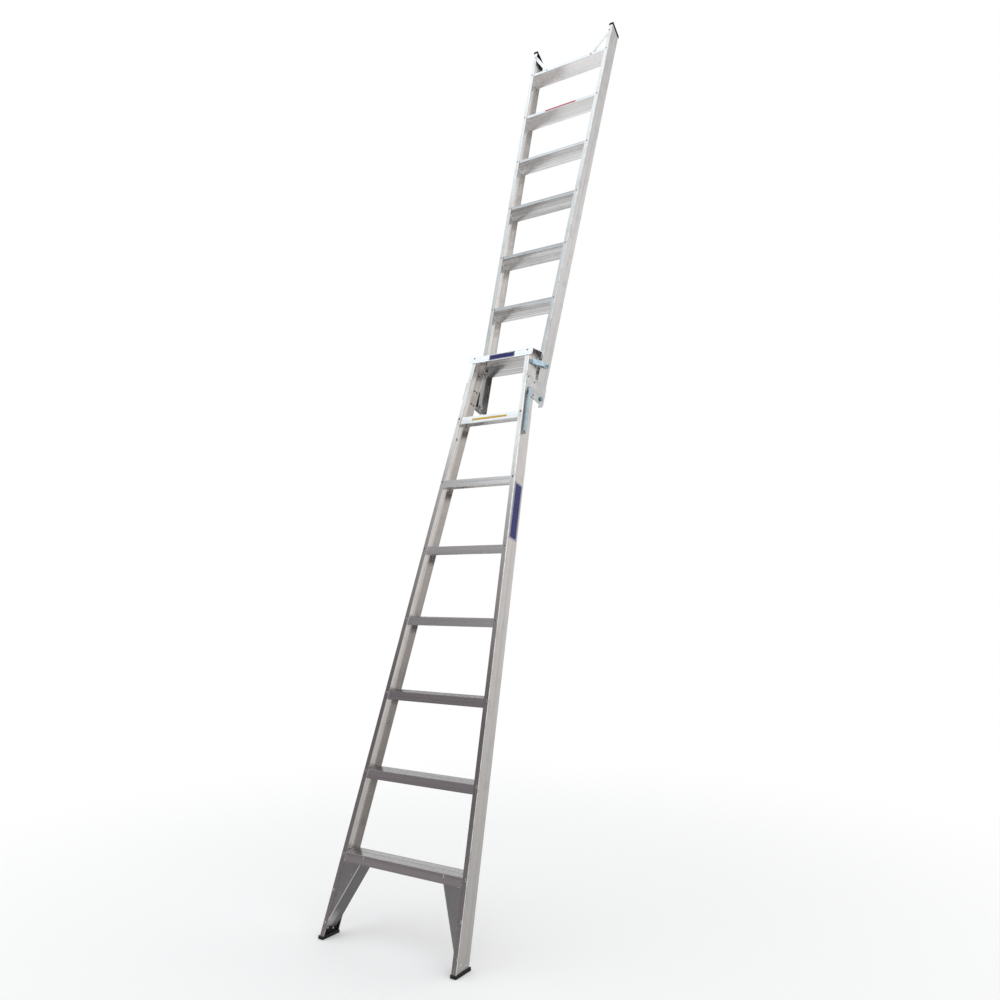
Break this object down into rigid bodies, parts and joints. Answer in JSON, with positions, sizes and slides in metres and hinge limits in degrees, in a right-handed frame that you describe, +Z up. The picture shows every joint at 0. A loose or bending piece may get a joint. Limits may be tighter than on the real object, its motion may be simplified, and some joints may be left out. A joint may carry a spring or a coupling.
{
  "type": "combination step and extension ladder",
  "caption": "Folding combination ladder: a tapered step section with channel treads, and a rear section hinged at the top cap that swings up as an extension or out as a stand.",
  "frame": {"origin": "on the floor, midway between the two feet, at the front edge of the stiles", "axes": "+Z up, +X to the right as seen from the front, +Y to the rear, the way the ladder leans"},
  "size_m": [0.613, 1.5039, 4.1469],
  "materials": {
    "mill_aluminium": "mill finish with fine lines along each extrusion",
    "zinc_steel": "bright zinc plate, slightly blue",
    "rivet_metal": "dull blind rivets",
    "black_rubber": "matte moulded rubber",
    "black_plastic": "matte moulded plastic",
    "navy_film": "plain printed film",
    "yellow_film": "plain printed film",
    "red_film": "plain printed film"
  },
  "bodies": {
    "lower_section": {"lower_stile_right": "mill_aluminium", "lower_stile_left": "mill_aluminium", "lower_tread_1": "mill_aluminium", "lower_tread_2": "mill_aluminium", "lower_tread_3": "mill_aluminium", "lower_tread_4": "mill_aluminium", "lower_tread_5": "mill_aluminium", "lower_tread_6": "mill_aluminium", "lower_tread_7": "mill_aluminium", "top_cap": "mill_aluminium", "gusset_right": "mill_aluminium", "gusset_left": "mill_aluminium", "foot_right": "black_rubber", "foot_left": "black_rubber", "hinge_plate_right": "zinc_steel", "hinge_plate_left": "zinc_steel", "pivot_bolts": "zinc_steel", "pivot_washers": "zinc_steel", "pivot_nuts": "zinc_steel", "latch_bushes": "zinc_steel", "latch_studs": "zinc_steel", "spreader_spacers": "zinc_steel", "spreader_studs": "zinc_steel", "lower_stud_nuts": "zinc_steel", "stop_buffer_right": "black_rubber", "stop_buffer_left": "black_rubber", "lower_tread_rivets": "rivet_metal", "cap_rivets": "rivet_metal", "gusset_rivets": "rivet_metal", "foot_rivets": "rivet_metal", "hinge_plate_rivets": "rivet_metal", "cap_panel": "navy_film", "side_panel": "navy_film", "tread_strip": "yellow_film"},
    "upper_section": {"upper_stile_right": "mill_aluminium", "upper_stile_left": "mill_aluminium", "upper_tread_1": "mill_aluminium", "upper_tread_2": "mill_aluminium", "upper_tread_3": "mill_aluminium", "upper_tread_4": "mill_aluminium", "upper_tread_5": "mill_aluminium", "upper_tread_6": "mill_aluminium", "upper_tread_7": "mill_aluminium", "tip_brace_right": "mill_aluminium", "tip_brace_left": "mill_aluminium", "tip_cap_right": "black_plastic", "tip_cap_left": "black_plastic", "pivot_bushes": "zinc_steel", "keeper_studs": "zinc_steel", "keeper_nuts": "zinc_steel", "upper_tread_rivets": "rivet_metal", "brace_rivets": "rivet_metal", "upper_strip": "red_film"},
    "latch_right": {"latch_hook_right": "zinc_steel"},
    "latch_left": {"latch_hook_left": "zinc_steel"},
    "spreader_right": {"spreader_arm_right": "zinc_steel"},
    "spreader_left": {"spreader_arm_left": "zinc_steel"}
  },
  "joints": [
    {"name": "fold", "type": "hinge", "parent": "lower_section", "child": "upper_section", "pos_m": [0, 0.80098, 2.06874], "axis": [-1, 0, 0], "range_deg": [0, 180]},
    {"name": "latch_right_lift", "type": "hinge", "parent": "lower_section", "child": "latch_right", "pos_m": [0.156, 0.74901, 2.22757], "axis": [1, 0, 0], "range_deg": [0, 75]},
    {"name": "latch_left_lift", "type": "hinge", "parent": "lower_section", "child": "latch_left", "pos_m": [-0.156, 0.74901, 2.22757], "axis": [1, 0, 0], "range_deg": [0, 75]},
    {"name": "spreader_right_swing", "type": "hinge", "parent": "lower_section", "child": "spreader_right", "pos_m": [0.17884, 0.64284, 1.90081], "axis": [-0.9979, -0.0202, -0.0623], "range_deg": [0, 90]},
    {"name": "spreader_left_swing", "type": "hinge", "parent": "lower_section", "child": "spreader_left", "pos_m": [-0.17884, 0.64284, 1.90081], "axis": [-0.9979, 0.0202, 0.0623], "range_deg": [0, 90]}
  ]
}
